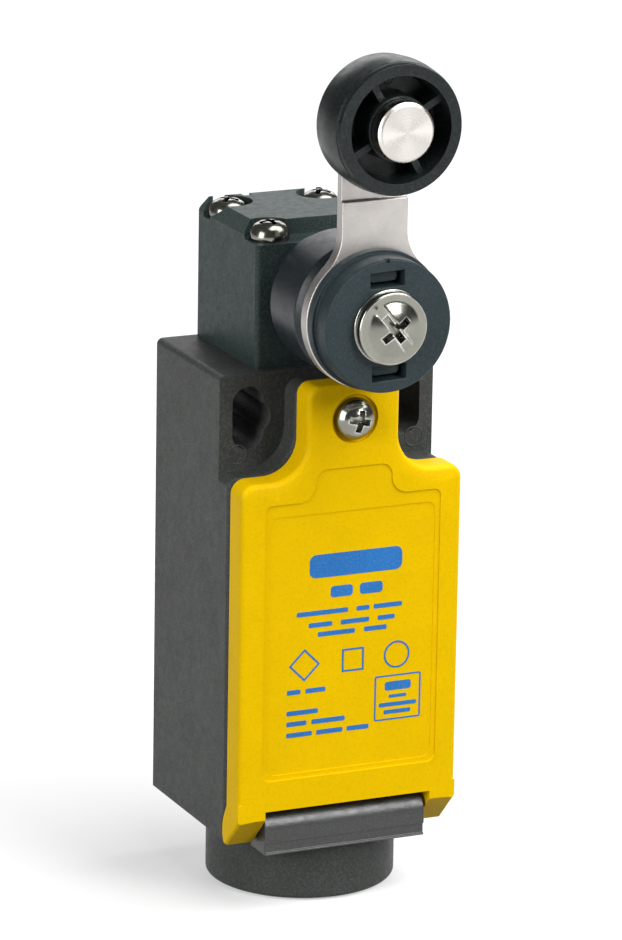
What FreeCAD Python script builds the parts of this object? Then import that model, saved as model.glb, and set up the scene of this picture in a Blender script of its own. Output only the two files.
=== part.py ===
"""Roller-lever limit switch: a 30 mm wide body with a hinged front cover, a turret head and a side lever.

Millimetres, +Z up. The origin is on the mounting face, midway between the two fixing slots.
+X is to the right of someone facing the cover, and the cover and lever face -Y.
"""

import math
import os

import FreeCAD
import Part

Vec = FreeCAD.Vector
AXIS_X, AXIS_Y, AXIS_Z = Vec(1, 0, 0), Vec(0, 1, 0), Vec(0, 0, 1)
FRONT = Vec(0, -1, 0)
EPS = 0.01  # overshoot that keeps boolean cuts clear of coincident faces
SMALL_R = 0.3  # smallest corner left when an outline is drawn in

# --- body -------------------------------------------------------------------------------------
BODY_HALF = 15.0  # half of the 30 mm width
BODY_BOTTOM, BODY_TOP = -55.4, 5.9
EAR_Y = -20.5  # front of the two fixing ears
RIM_Y = -24.0  # front of the rim the cover closes on
BACK_WALL, SIDE_WALL, FLOOR = 2.8, 2.3, 2.5
EDGE_R, COLLAR_EDGE_R, CAVITY_R = 0.8, 0.6, 1.5

SHOULDER_Z = -6.8  # where the rim narrows to the neck
NECK_HALF, NECK_TOP = 5.9, 4.8
CORNER_R, WAIST_R, NECK_R = 1.2, 5.4, 2.0

CAVITY_TOP = -9.4
APRON_TOP, APRON_BACK = -49.2, -21.6  # wall behind the hinge bar

SLOT_X, SLOT_R, SLOT_LENGTH = 11.0, 2.15, 8.3
HOLE_X = 10.0  # round holes run into the slots

COLLAR_Y, COLLAR_R, COLLAR_BOTTOM = -14.4, 12.4, -64.1
ENTRY_R, ENTRY_TOP = 9.25, -55.8  # minor radius of the M20 x 1.5 cable entry
THROAT_R = 8.0

# --- cover and hinge --------------------------------------------------------------------------
COVER_HALF, COVER_SHOULDER, COVER_NECK, COVER_TOP = 15.4, -6.4, 6.4, 5.6
COVER_FRONT, COVER_PLATE, COVER_REAR = -29.3, -27.3, -25.4
COVER_CORNER_R, COVER_WAIST_R, COVER_NECK_R = 1.9, 4.8, 1.6
COVER_SKIRT, COVER_EDGE_R, TAB_EDGE_R = 1.8, 0.8, 0.5
BORDER_WIDE, BORDER_DROP = 2.2, 0.3  # the cover's front falls away a little towards its outline
HINGE_Y, HINGE_Z = -25.6, -53.35
TAB_IN = 11.65  # inner side of the two hinge tabs
COVER_LOWER_EDGE = HINGE_Z + 3.2
# the sunk print field follows the cover's waist, and a finer step bounds the print itself
FIELD_HALF, FIELD_SHOULDER, FIELD_NECK, FIELD_TOP, FIELD_LOW = 12.3, -9.3, 5.4, -5.2, -46.1
FIELD_CORNER_R, FIELD_WAIST_R, FIELD_NOSE_R, FIELD_DEEP = 1.0, 2.2, 1.6, 0.17
PRINT_HALF, PRINT_LOW, PRINT_HIGH, PRINT_DEEP, PRINT_R = 11.6, -45.4, -11.0, 0.08, 1.2
BAR_R, BAR_HALF, BAR_LIP_Z, BAR_LIP_TALL, BAR_LIP_OUT = 2.95, 11.3, -56.4, 0.3, 0.25
PART_LINE = 0.02  # a bonded or pressed joint between two separate pieces
HINGE_PIN_R, HINGE_PIN_HALF, RUNNING = 0.7, 14.2, 0.05
POCKET_R = 2.6
GASKET_WIDTH, GASKET_FRONT = 1.5, -25.2

COVER_SCREW_Z, SCREW_SEAT_Y, SCREW_HEAD_R, COUNTERBORE_R = 1.1, -28.8, 2.75, 3.2
SCREW_SHANK_R, SCREW_CLEAR = 1.6, 0.35
SCREW_TIP_Y = -20.5
INSERT_R, INSERT_REAR = 2.9, -18.8

# --- head -------------------------------------------------------------------------------------
HEAD_HALF, HEAD_FRONT, HEAD_SIDE_TOP = 9.5, -19.3, 22.6
PLATEAU_Z, PLATEAU_FRONT, PLATEAU_CHAMFER = 24.2, -15.0, 1.6
STEP_Z = 22.1
HEAD_SCREW_X, HEAD_SCREW_Y = 6.5, (-16.4, -3.1)
POCKET_SCREW_R = 3.2
HEAD_SCREW_R, HEAD_SCREW_SHANK, HEAD_SCREW_TALL = 2.6, 1.35, 2.5
HEAD_SCREW_TIP, HEAD_SCREW_CLEAR, HEAD_SCREW_POINT = 2.5, 0.25, 0.5
HEAD_CROSS_REACH, HEAD_CROSS_HALF, HEAD_CROSS_DEEP = 1.45, 0.38, 1.4

SHAFT_Z = 15.4
CORNER_BLOCK_X, HEAD_EDGE_R = 3.6, 0.6
NOTCH_X, NOTCH_DEEP, NOTCH_LOW = (-3.4, -2.2), 1.1, 0.8
CAM_CAVITY_R, CAM_FRONT, CAM_REAR = 5.6, -14.6, -4.9
PLUNGER_Y, PASSAGE_R = -9.7, 3.7
BOSS_R, BOSS_FRONT, BOSS_STEP_Y, BOSS_ROOT_R = 9.0, -31.0, -22.1, 7.8
CHAMBER_R, CHAMBER_FRONT = 6.4, -28.6
SHAFT_SEAL_R, SHAFT_SEAL_Y = 5.3, (-29.2, -30.2)
HEAD_SEAL_R, HEAD_SEAL_TALL, HEAD_SEAL_FIT = (4.4, 5.6), 1.0, 0.1
JOURNAL_R, FIT = 4.0, 0.06
PIVOT_R, PIVOT_END = 2.5, -2.6

# --- lever train ------------------------------------------------------------------------------
FLANGE_R, FLANGE_REAR = 7.6, -31.3
LEVER_REAR, LEVER_FRONT, LEVER_EYE_R, LEVER_HALF = -32.3, -34.1, 9.2, 4.5
LEVER_FLARE_R = 6.0
STEP_UP_Z, TONGUE_FRONT = 30.6, -33.6  # above this step the lever is thinner and clears the roller
ROLLER_Z = 40.9
SQUARE_HALF, SQUARE_FRONT, SQUARE_FIT = 3.0, -38.3, 0.05
DISC_R, DISC_FRONT, DISC_FLANGE_R, DISC_FLANGE_FRONT = 8.6, -38.6, 9.05, -35.4
DISC_CHAMFER, DISC_TURN = 0.15, -2.2
WINDOW_HALF, WINDOW_TALL, WINDOW_Z, WINDOW_DEEP = 2.35, 2.0, 6.0, 2.7
LUG_HALF, LUG_LOW, LUG_HIGH, LUG_BACK, LUG_R = 1.9, 0.55, 0.85, 1.3, 0.6
DISC_NOTCH_HALF, DISC_NOTCH_LOW, DISC_NOTCH_DEEP = 0.35, 0.5, 0.6
LEVER_SCREW_R, LEVER_SCREW_TIP, LEVER_TAP_END = 2.0, -27.6, -27.0
WASHER_R, WASHER_FRONT, WASHER_EDGE, WASHER_FIT = 4.85, -38.95, 0.12, 0.15
SCREW_RIM_R, SCREW_RIM_FRONT, SCREW_DOME_R, SCREW_DOME_TALL = 4.65, -40.2, 3.75, 0.95
SCREW_SLOT_HALF, SCREW_SLOT_WIDE, SCREW_SLOT_DEEP, SCREW_TURN = 3.55, 1.4, 0.85, 52
SCREW_CROSS_REACH, SCREW_CROSS_WIDE, SCREW_CROSS_DEEP = 2.1, 0.95, 2.4

ROLLER_R, ROLLER_FRONT, ROLLER_REAR = 8.65, -41.2, -33.8
RING_OUT, RING_IN, HUB_R, BORE_R = 8.2, 6.8, 4.15, 2.06
RECESS_Y, HUB_FRONT, RIB, RIB_BACK = -36.6, -40.6, 0.9, 1.4
RIB_ANGLES = (30, 120, 210, 300)
PIN_R, PIN_HEAD_R, PIN_HEAD_FRONT, PIN_HEAD_REAR = 2.0, 3.85, -42.9, -40.8
PIN_CHAMFER, RIVET_R, RIVET_TALL, RIVET_EDGE = 0.4, 3.0, 0.9, 0.5

# --- switching parts inside -------------------------------------------------------------------
TRAVEL = 1.3  # plunger and contact travel
PLUNGER_R, PLUNGER_HEAD_R, PLUNGER_TOP, PLUNGER_END = 2.2, 3.0, 10.35, -9.9
CAM_R, CAM_FLAT = 4.9, 3.6
GUIDE_R, GUIDE_LOW = 3.2, -1.0
PLUNGER_HEAD_TALL, PLUNGER_CLEAR = 1.2, 0.4
BLOCK_HALF, BLOCK_FRONT, BLOCK_BACK, BLOCK_LOW, BLOCK_TOP = 10.0, -16.5, -3.4, -38.0, -10.4
CARRIER_HALF, CARRIER_Y = 2.4, (-12.4, -7.0)
CARRIER_TOP, CARRIER_LOW = -10.2, -33.0
SLOT_GAP = 0.35
NC_Z, NO_Z = -18.4, -27.6  # bridge levels: the upper pair opens, the lower pair closes
BRIDGE_HALF, BRIDGE_THICK, BRIDGE_Y = 8.0, 0.6, (-10.9, -8.5)
STRIP_THICK, STRIP_X = 0.7, (5.4, 9.4)
STRIP_REACH, STRIP_GAP, STRIP_SLOT_Y = 2.4, 0.25, -7.6
POCKET_HALF, POCKET_Y = 8.6, (-11.9, -7.6)
TERMINAL_FRONT, TERMINAL_X = -17.4, 7.4
TERMINAL_SCREW_R, TERMINAL_SHANK_R = 2.2, 1.2
BLOCK_SCREW_X, BLOCK_SCREW_Z, BLOCK_SCREW_R = 7.2, -23.0, 1.3


def box(x0, x1, y0, y1, z0, z1):
    return Part.makeBox(x1 - x0, y1 - y0, z1 - z0, Vec(x0, y0, z0))


def rod(radius, start, end, x=0.0, z=0.0):
    """Cylinder along Y from start (rear) to end (front)."""
    return Part.makeCylinder(radius, abs(end - start), Vec(x, max(start, end), z), FRONT)


def post(radius, low, high, x=0.0, y=0.0):
    return Part.makeCylinder(radius, high - low, Vec(x, y, low))


def bar(radius, x0, x1, y, z):
    return Part.makeCylinder(radius, x1 - x0, Vec(x0, y, z), AXIS_X)


def mirrored(shape):
    return [shape, shape.mirror(Vec(0, 0, 0), AXIS_X)]


def fuse(shapes):
    first, *rest = shapes
    return first.fuse(rest).removeSplitter() if rest else first


def polygon_prism(points, direction):
    """Closed polygon of Vec points, extruded by the direction vector."""
    return Part.Face(Part.makePolygon(points + [points[0]])).extrude(direction)


def turned(profile, x, z):
    """Solid of revolution about the Y line through (x, z). The profile is (radius, y) pairs."""
    points = [Vec(x + r, y, z) for r, y in profile]
    face = Part.Face(Part.makePolygon(points + [points[0]]))
    return face.revolve(Vec(x, 0, z), AXIS_Y, 360)


def spring(radius, wire, length, turns, base, direction):
    """Helical coil whose end faces stay inside the given length."""
    height = length - 2 * wire
    helix = Part.makeHelix(height / turns, height, radius)
    ring = Part.makeCircle(wire, Vec(radius, 0, 0), AXIS_Y)
    sweep = Part.BRepOffsetAPI.MakePipeShell(Part.Wire(helix.Edges))
    sweep.setFrenetMode(True)
    sweep.add(Part.Wire(ring))
    sweep.build()
    sweep.makeSolid()
    coil = sweep.shape()
    coil.translate(Vec(0, 0, wire))
    turn = FreeCAD.Rotation(AXIS_Z, direction)
    coil.Placement = FreeCAD.Placement(base, turn).multiply(coil.Placement)
    return coil


def arc(centre, radius, start, end):
    """Arc in the XZ plane from one angle to another, in degrees."""

    def at(angle):
        a = math.radians(angle)
        return centre + Vec(radius * math.cos(a), 0, radius * math.sin(a))

    return Part.Arc(at(start), at((start + end) / 2), at(end)).toShape(), at(start), at(end)


def bottle_wire(half, shoulder, neck, top, bottom, radii, y):
    """Outline of rim and cover: a wide lower part with a concave waist up to a narrow neck."""
    corner, waist, nose = radii
    right = [
        arc(Vec(half - corner, y, shoulder - corner), corner, 0, 90),
        arc(Vec(neck + waist, y, shoulder + waist), waist, 270, 180),
        arc(Vec(neck - nose, y, top - nose), nose, 0, 90),
    ]
    left = [
        arc(Vec(nose - neck, y, top - nose), nose, 90, 180),
        arc(Vec(-neck - waist, y, shoulder + waist), waist, 0, -90),
        arc(Vec(corner - half, y, shoulder - corner), corner, 90, 180),
    ]
    edges, last = [], Vec(half, y, bottom)
    for edge, start, end in right + left:
        edges += [Part.makeLine(last, start), edge]
        last = end
    low_left = Vec(-half, y, bottom)
    edges += [Part.makeLine(last, low_left), Part.makeLine(low_left, Vec(half, y, bottom))]
    return Part.Wire(edges)


def inset_wire(sizes, radii, inset, bottom, y):
    """Bottle outline drawn in by inset on every side but the bottom."""
    half, shoulder, neck, top = (value - inset for value in sizes)
    corner, waist, nose = radii
    radii = (max(corner - inset, SMALL_R), waist + inset, max(nose - inset, SMALL_R))
    return bottle_wire(half, shoulder, neck, top, bottom, radii, y)


def cover_wire(inset, y, bottom=COVER_LOWER_EDGE):
    sizes = (COVER_HALF, COVER_SHOULDER, COVER_NECK, COVER_TOP)
    return inset_wire(sizes, (COVER_CORNER_R, COVER_WAIST_R, COVER_NECK_R), inset, bottom, y)


def rim_wire(inset, y, bottom):
    sizes = (BODY_HALF, SHOULDER_Z, NECK_HALF, NECK_TOP)
    return inset_wire(sizes, (CORNER_R, WAIST_R, NECK_R), inset, bottom, y)


def bottle(inset, y0, y1, bottom, cover=False):
    """Rim or cover outline, drawn in by inset and extruded from y0 forward to y1."""
    wire = cover_wire(inset, y0, bottom) if cover else rim_wire(inset, y0, bottom)
    return Part.Face(wire).extrude(Vec(0, y1 - y0, 0))


def slot_cut(x):
    """One vertical fixing slot with the round hole that runs into its inner side."""
    reach = SLOT_LENGTH / 2 - SLOT_R
    rear, front = EPS, EAR_Y - EPS
    ends = [rod(SLOT_R, rear, front, x, z) for z in (-reach, reach)]
    middle = box(x - SLOT_R, x + SLOT_R, front, rear, -reach, reach)
    hole = rod(SLOT_R, rear, front, math.copysign(HOLE_X, x), 0)
    return fuse(ends + [middle, hole])


def make_housing():
    shell = box(-BODY_HALF, BODY_HALF, EAR_Y, 0, BODY_BOTTOM, BODY_TOP)
    shell = shell.fuse(bottle(0, EAR_Y, RIM_Y, BODY_BOTTOM)).removeSplitter()
    edges = [e for e in shell.Edges if is_outer_edge(e) or is_top_side_edge(e)]
    shell = shell.makeFillet(EDGE_R, edges)
    collar = post(COLLAR_R, COLLAR_BOTTOM, BODY_BOTTOM + EPS, 0, COLLAR_Y)
    low_rim = [e for e in collar.Edges if abs(e.BoundBox.ZMax - COLLAR_BOTTOM) < EPS]
    shell = shell.fuse(collar.makeFillet(COLLAR_EDGE_R, low_rim)).removeSplitter()

    inside = BODY_HALF - SIDE_WALL
    room = box(-inside, inside, APRON_BACK, -BACK_WALL, BODY_BOTTOM + FLOOR, CAVITY_TOP)
    mouth = box(-inside, inside, RIM_Y - EPS, APRON_BACK + EPS, APRON_TOP, CAVITY_TOP)
    room = room.fuse(mouth).removeSplitter()
    uprights = [
        e for e in room.Edges
        if abs(e.tangentAt(e.FirstParameter).z) > 0.99 and abs(e.BoundBox.YMax + BACK_WALL) < EPS
    ]
    cuts = [room.makeFillet(CAVITY_R, uprights)]
    cuts += [slot_cut(SLOT_X), slot_cut(-SLOT_X)]
    cuts += [
        post(ENTRY_R, COLLAR_BOTTOM - EPS, ENTRY_TOP, 0, COLLAR_Y),
        post(THROAT_R, ENTRY_TOP - EPS, BODY_BOTTOM + FLOOR + EPS, 0, COLLAR_Y),
        post(GUIDE_R, GUIDE_LOW, BODY_TOP + EPS, 0, PLUNGER_Y),
        post(PLUNGER_R + PLUNGER_CLEAR, CAVITY_TOP - EPS, GUIDE_LOW + EPS, 0, PLUNGER_Y),
        rod(INSERT_R, INSERT_REAR, RIM_Y - EPS, 0, COVER_SCREW_Z),
    ]
    for x in (-HEAD_SCREW_X, HEAD_SCREW_X):
        for y in HEAD_SCREW_Y:
            cuts.append(post(HEAD_SCREW_SHANK, HEAD_SCREW_TIP, BODY_TOP + EPS, x, y))
    for side in (-1, 1):
        x0, x1 = sorted((side * BAR_HALF, side * (BODY_HALF + EPS)))
        cuts.append(bar(POCKET_R, x0, x1, HINGE_Y, HINGE_Z))
        cuts.append(rod(BLOCK_SCREW_R, -0.9, -BACK_WALL - EPS, side * BLOCK_SCREW_X, BLOCK_SCREW_Z))
    shell = shell.cut(cuts)
    pads = [
        rod(3.0, -BACK_WALL + EPS, BLOCK_BACK, side * BLOCK_SCREW_X, BLOCK_SCREW_Z).cut(
            rod(BLOCK_SCREW_R, 0, BLOCK_BACK - EPS, side * BLOCK_SCREW_X, BLOCK_SCREW_Z)
        )
        for side in (-1, 1)
    ]
    return shell.fuse(pads).removeSplitter()


def is_outer_edge(edge):
    """Upright edges of the ears and body sides, and the ear tops."""
    b = edge.BoundBox
    at_side = abs(abs(b.XMin) - BODY_HALF) < EPS and b.XLength < EPS
    upright = b.ZLength > 5 and b.YLength < EPS
    at_ear_front = abs(b.YMin - EAR_Y) < EPS and b.ZMin > SHOULDER_Z - 1
    at_rim = abs(b.YMin - RIM_Y) < EPS
    return at_side and upright and (at_ear_front or at_rim)


def is_top_side_edge(edge):
    """The two top edges that run from front to back."""
    b = edge.BoundBox
    return b.YLength > 5 and b.ZMin > BODY_TOP - EPS and abs(abs(b.XMin) - BODY_HALF) < EPS


def make_hinge_bar():
    flat = RIM_Y - PART_LINE
    round_part = bar(BAR_R, -BAR_HALF, BAR_HALF, HINGE_Y, HINGE_Z)
    front = HINGE_Y - BAR_R
    base = box(-BAR_HALF, BAR_HALF, front, flat, BAR_LIP_Z, HINGE_Z)
    block = round_part.fuse(base).removeSplitter()
    block = block.cut(box(-BODY_HALF, BODY_HALF, flat, 0, BAR_LIP_Z - EPS, 0))
    above_lip = box(-BODY_HALF, BODY_HALF, front - 1, front + BAR_LIP_OUT,
                    BAR_LIP_Z + BAR_LIP_TALL, HINGE_Z - BAR_R / 2)
    collar = post(COLLAR_R + PART_LINE, COLLAR_BOTTOM, BODY_BOTTOM + PART_LINE, 0, COLLAR_Y)
    pin_bore = bar(HINGE_PIN_R, -BAR_HALF - EPS, BAR_HALF + EPS, HINGE_Y, HINGE_Z)
    return block.cut([above_lip, collar, pin_bore])


def make_hinge_pin():
    return bar(HINGE_PIN_R, -HINGE_PIN_HALF, HINGE_PIN_HALF, HINGE_Y, HINGE_Z)


def make_gasket():
    rear = RIM_Y
    outer = bottle(0.35, rear, GASKET_FRONT, COVER_LOWER_EDGE + 0.15)
    inner = bottle(0.35 + GASKET_WIDTH, rear + EPS, GASKET_FRONT - EPS,
                   COVER_LOWER_EDGE + 0.15 + GASKET_WIDTH)
    return outer.cut(inner).cut(rod(INSERT_R + 0.1, rear + 1, GASKET_FRONT - 1, 0, COVER_SCREW_Z))


def bordered_plate():
    """Cover block whose front slopes back towards the outline, with a rounded outer edge."""
    brink = COVER_FRONT + BORDER_DROP
    plate = bottle(0, COVER_REAR, brink, COVER_LOWER_EDGE, cover=True)
    wires = [cover_wire(0, brink), cover_wire(BORDER_WIDE, COVER_FRONT)]
    slope = Part.makeLoft(wires, True, True)
    plate = plate.fuse(slope).removeSplitter()
    outer = [e for e in plate.Edges
             if abs(e.BoundBox.YMin - brink) < EPS and e.BoundBox.YLength < EPS
             and e.BoundBox.ZMax > COVER_LOWER_EDGE + EPS]
    return plate.makeFillet(COVER_EDGE_R, outer)


def tab_border(side):
    """Wedge that carries the sloping border down over a hinge tab."""
    inner, outer = side * (COVER_HALF - BORDER_WIDE), side * COVER_HALF
    beyond = side * (COVER_HALF + BORDER_WIDE)
    low, high = HINGE_Z - 3, COVER_LOWER_EDGE + 1.5
    ahead = COVER_FRONT - BORDER_DROP
    points = [Vec(inner, COVER_FRONT, low), Vec(outer, COVER_FRONT + BORDER_DROP, low),
              Vec(beyond, COVER_FRONT + 2 * BORDER_DROP, low),
              Vec(beyond, ahead, low), Vec(inner, ahead, low)]
    return polygon_prism(points, Vec(0, 0, high - low))


def tab_profile(x):
    """Side view of a hinge tab, with a slanted toe that clears the body as the cover swings."""
    y, z = HINGE_Y, HINGE_Z
    points = [
        (COVER_FRONT, COVER_LOWER_EDGE + 1.2),
        (COVER_FRONT, z + 2.1),
        (y + 0.4, z - 2.1),
        (y + 1.1, z - 1.8),
        (y + 1.45, z - 1.0),
        (y + 1.5, z + 0.6),
        (y + 1.15, z + 1.6),
        (COVER_REAR, z + 3.4),
        (COVER_REAR, COVER_LOWER_EDGE + 1.2),
    ]
    return [Vec(x, py, pz) for py, pz in points]


def make_cover():
    plate = bordered_plate()
    hollow = bottle(COVER_SKIRT, COVER_REAR + EPS, COVER_PLATE,
                    COVER_LOWER_EDGE + COVER_SKIRT, cover=True)
    cover = plate.cut(hollow)
    for side in (-1, 1):
        x0, x1 = sorted((side * TAB_IN, side * COVER_HALF))
        tab = polygon_prism(tab_profile(x0), Vec(x1 - x0, 0, 0))
        outer = [e for e in tab.Edges
                 if abs(abs(e.BoundBox.XMin) - COVER_HALF) < EPS and e.BoundBox.XLength < EPS
                 and e.BoundBox.YMax < HINGE_Y + 0.5 and e.BoundBox.YMin < COVER_FRONT + EPS]
        cover = cover.fuse(tab.makeFillet(TAB_EDGE_R, outer)).cut(tab_border(side))
        bore0, bore1 = sorted((side * (TAB_IN - 1), side * (HINGE_PIN_HALF + 0.2)))
        cover = cover.cut(bar(HINGE_PIN_R + RUNNING, bore0, bore1, HINGE_Y, HINGE_Z))
    boss = rod(3.6, COVER_REAR, COVER_PLATE - 0.5, 0, COVER_SCREW_Z)
    cover = cover.fuse(boss).removeSplitter()
    hole = rod(SCREW_SHANK_R + SCREW_CLEAR, COVER_REAR + 1, COVER_FRONT - 1, 0, COVER_SCREW_Z)
    counterbore = rod(COUNTERBORE_R, SCREW_SEAT_Y, COVER_FRONT - 1, 0, COVER_SCREW_Z)
    return cover.cut([hole, counterbore, print_field()])


def print_field():
    """Shallow field for the print: its outline follows the waist, with a finer rectangle sunk in it."""
    y0, y1 = COVER_FRONT - 1, COVER_FRONT + FIELD_DEEP
    outline = bottle_wire(FIELD_HALF, FIELD_SHOULDER, FIELD_NECK, FIELD_TOP, FIELD_LOW,
                          (FIELD_CORNER_R, FIELD_WAIST_R, FIELD_NOSE_R), y0)
    field = Part.Face(outline).extrude(Vec(0, y1 - y0, 0))
    low = [e for e in field.Edges
           if e.BoundBox.YLength > FIELD_DEEP and e.BoundBox.ZMax < FIELD_LOW + EPS]
    field = field.makeFillet(PRINT_R, low)
    panel = box(-PRINT_HALF, PRINT_HALF, y0, y1 + PRINT_DEEP, PRINT_LOW, PRINT_HIGH)
    corners = [e for e in panel.Edges if e.BoundBox.YLength > FIELD_DEEP]
    return field.fuse(panel.makeFillet(PRINT_R, corners)).removeSplitter()


def make_cover_screw():
    head = [(0, -31.2), (1.1, -31.05), (2.0, -30.55), (2.6, -29.85), (SCREW_HEAD_R, -29.4),
            (SCREW_HEAD_R, SCREW_SEAT_Y),
            (SCREW_SHANK_R, SCREW_SEAT_Y), (SCREW_SHANK_R, SCREW_TIP_Y - 0.5),
            (SCREW_SHANK_R - 0.5, SCREW_TIP_Y), (0, SCREW_TIP_Y)]
    return cross_cut(turned(head, 0, COVER_SCREW_Z), 0, COVER_SCREW_Z, -31.3, 12, 1.45, 0.8, 1.8)


def cross_cut(head, x, z, front, angle, reach, width, deep):
    """Phillips recess in a head that faces -Y."""
    blades = [
        box(x - reach, x + reach, front, front + deep, z - width / 2, z + width / 2),
        box(x - width / 2, x + width / 2, front, front + deep, z - reach, z + reach),
    ]
    for blade in blades:
        blade.rotate(Vec(x, 0, z), AXIS_Y, angle)
    return head.cut(blades)


def make_cover_insert():
    sleeve = rod(INSERT_R, INSERT_REAR, RIM_Y, 0, COVER_SCREW_Z)
    return sleeve.cut(rod(SCREW_SHANK_R + SCREW_CLEAR, INSERT_REAR + 1.0, RIM_Y - 1, 0, COVER_SCREW_Z))


def make_head():
    low = box(-HEAD_HALF, HEAD_HALF, HEAD_FRONT, 0, BODY_TOP, STEP_Z)
    side, top, cut = HEAD_HALF, PLATEAU_Z, PLATEAU_CHAMFER
    cap = polygon_prism(
        [Vec(-side, 0, STEP_Z), Vec(side, 0, STEP_Z), Vec(side, 0, HEAD_SIDE_TOP),
         Vec(side - cut, 0, top), Vec(cut - side, 0, top), Vec(-side, 0, HEAD_SIDE_TOP)],
        Vec(0, PLATEAU_FRONT, 0),
    )
    corner_blocks = mirrored(polygon_prism(
        [Vec(CORNER_BLOCK_X, 0, STEP_Z), Vec(side, 0, STEP_Z), Vec(side, 0, HEAD_SIDE_TOP),
         Vec(side - cut, 0, top), Vec(CORNER_BLOCK_X, 0, top)],
        Vec(0, HEAD_FRONT, 0),
    ))
    head = fuse([low, cap] + corner_blocks)
    uprights = [e for e in head.Edges
                if e.BoundBox.ZLength > 5 and e.BoundBox.XLength < EPS and e.BoundBox.YLength < EPS]
    head = head.makeFillet(HEAD_EDGE_R, uprights)

    cuts = [
        rod(CAM_CAVITY_R, CAM_REAR, CAM_FRONT, 0, SHAFT_Z),
        post(PASSAGE_R, BODY_TOP - EPS, SHAFT_Z, 0, PLUNGER_Y),
        rod(JOURNAL_R + FIT, CAM_FRONT + EPS, HEAD_FRONT - EPS, 0, SHAFT_Z),
        rod(PIVOT_R + FIT, PIVOT_END + 0.2, CAM_REAR - EPS, 0, SHAFT_Z),
        seal_ring(HEAD_SEAL_FIT),
        box(*NOTCH_X, -NOTCH_DEEP, EPS, PLATEAU_Z - NOTCH_LOW, PLATEAU_Z + EPS),
    ]
    for x in (-HEAD_SCREW_X, HEAD_SCREW_X):
        for y in HEAD_SCREW_Y:
            cuts.append(post(POCKET_SCREW_R, STEP_Z, PLATEAU_Z + EPS, x, y))
            if y < PLUNGER_Y:  # the front pockets run out through the front
                cuts.append(box(x - POCKET_SCREW_R, x + POCKET_SCREW_R, HEAD_FRONT - EPS, y,
                                STEP_Z, PLATEAU_Z + EPS))
            cuts.append(post(HEAD_SCREW_SHANK + HEAD_SCREW_CLEAR, BODY_TOP - EPS, STEP_Z + EPS, x, y))
    return head.cut(cuts)


def seal_ring(grow):
    """Ring round the plunger between body and head, or its groove when grown on every side but the bottom."""
    inner, outer = HEAD_SEAL_R
    low = BODY_TOP - (EPS if grow else 0)
    ring = post(outer + grow, low, BODY_TOP + HEAD_SEAL_TALL + grow, 0, PLUNGER_Y)
    return ring.cut(post(inner - grow, low - 1, BODY_TOP + HEAD_SEAL_TALL + 1, 0, PLUNGER_Y))


def make_head_seal():
    return seal_ring(0)


def make_head_screw(x, y):
    seat, top = STEP_Z, STEP_Z + HEAD_SCREW_TALL
    profile = [(0, top), (1.2, top - 0.12), (1.95, top - 0.5), (2.4, top - 1.1), (HEAD_SCREW_R, top - 1.8),
               (HEAD_SCREW_R - 0.1, seat), (HEAD_SCREW_SHANK, seat),
               (HEAD_SCREW_SHANK, HEAD_SCREW_TIP + HEAD_SCREW_POINT),
               (HEAD_SCREW_SHANK - HEAD_SCREW_POINT, HEAD_SCREW_TIP), (0, HEAD_SCREW_TIP)]
    points = [Vec(x + r, y, z) for r, z in profile]
    solid = Part.Face(Part.makePolygon(points + [points[0]])).revolve(Vec(x, y, 0), AXIS_Z, 360)
    reach, half, floor = HEAD_CROSS_REACH, HEAD_CROSS_HALF, top - HEAD_CROSS_DEEP
    blades = [
        box(x - reach, x + reach, y - half, y + half, floor, top + 1),
        box(x - half, x + half, y - reach, y + reach, floor, top + 1),
    ]
    for blade in blades:
        blade.rotate(Vec(x, y, 0), AXIS_Z, 10 + 7 * x + 3 * y)
    return solid.cut(blades)


def make_head_screws():
    return [make_head_screw(x, y) for x in (-HEAD_SCREW_X, HEAD_SCREW_X) for y in HEAD_SCREW_Y]


def make_boss():
    profile = [(0, HEAD_FRONT), (BOSS_ROOT_R, HEAD_FRONT), (BOSS_ROOT_R, BOSS_STEP_Y),
               (BOSS_R, BOSS_STEP_Y - 0.3), (BOSS_R, BOSS_FRONT + 1.1), (BOSS_R - 1.0, BOSS_FRONT),
               (0, BOSS_FRONT)]
    boss = turned(profile, 0, SHAFT_Z)
    chamber = rod(CHAMBER_R, HEAD_FRONT + 1, CHAMBER_FRONT, 0, SHAFT_Z)
    bore = rod(JOURNAL_R + FIT, HEAD_FRONT, BOSS_FRONT - 1, 0, SHAFT_Z)
    groove = rod(SHAFT_SEAL_R, *SHAFT_SEAL_Y, 0, SHAFT_Z)
    return boss.cut([chamber, bore, groove])


def make_shaft_seal():
    rear, front = SHAFT_SEAL_Y
    ring = rod(SHAFT_SEAL_R, rear, front, 0, SHAFT_Z)
    return ring.cut(rod(JOURNAL_R + FIT + PART_LINE, rear + 1, front - 1, 0, SHAFT_Z))


def make_return_spring():
    return spring(5.2, 0.4, 8.0, 7, Vec(0, -20.0, SHAFT_Z), FRONT)


def make_shaft():
    core = 3.0
    profile = [(0, PIVOT_END), (PIVOT_R, PIVOT_END), (PIVOT_R, CAM_REAR - 0.2), (core, CAM_REAR - 0.2),
               (core, CAM_FRONT - 0.2), (JOURNAL_R, CAM_FRONT - 0.2), (JOURNAL_R, FLANGE_REAR),
               (FLANGE_R, FLANGE_REAR), (FLANGE_R, LEVER_REAR), (0, LEVER_REAR)]
    shaft = turned(profile, 0, SHAFT_Z)
    stub = box(-SQUARE_HALF, SQUARE_HALF, SQUARE_FRONT, LEVER_REAR + EPS,
               SHAFT_Z - SQUARE_HALF, SHAFT_Z + SQUARE_HALF)
    thread = rod(LEVER_SCREW_R, LEVER_TAP_END, SQUARE_FRONT - 1, 0, SHAFT_Z)
    return shaft.fuse(stub).removeSplitter().cut(thread)


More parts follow.
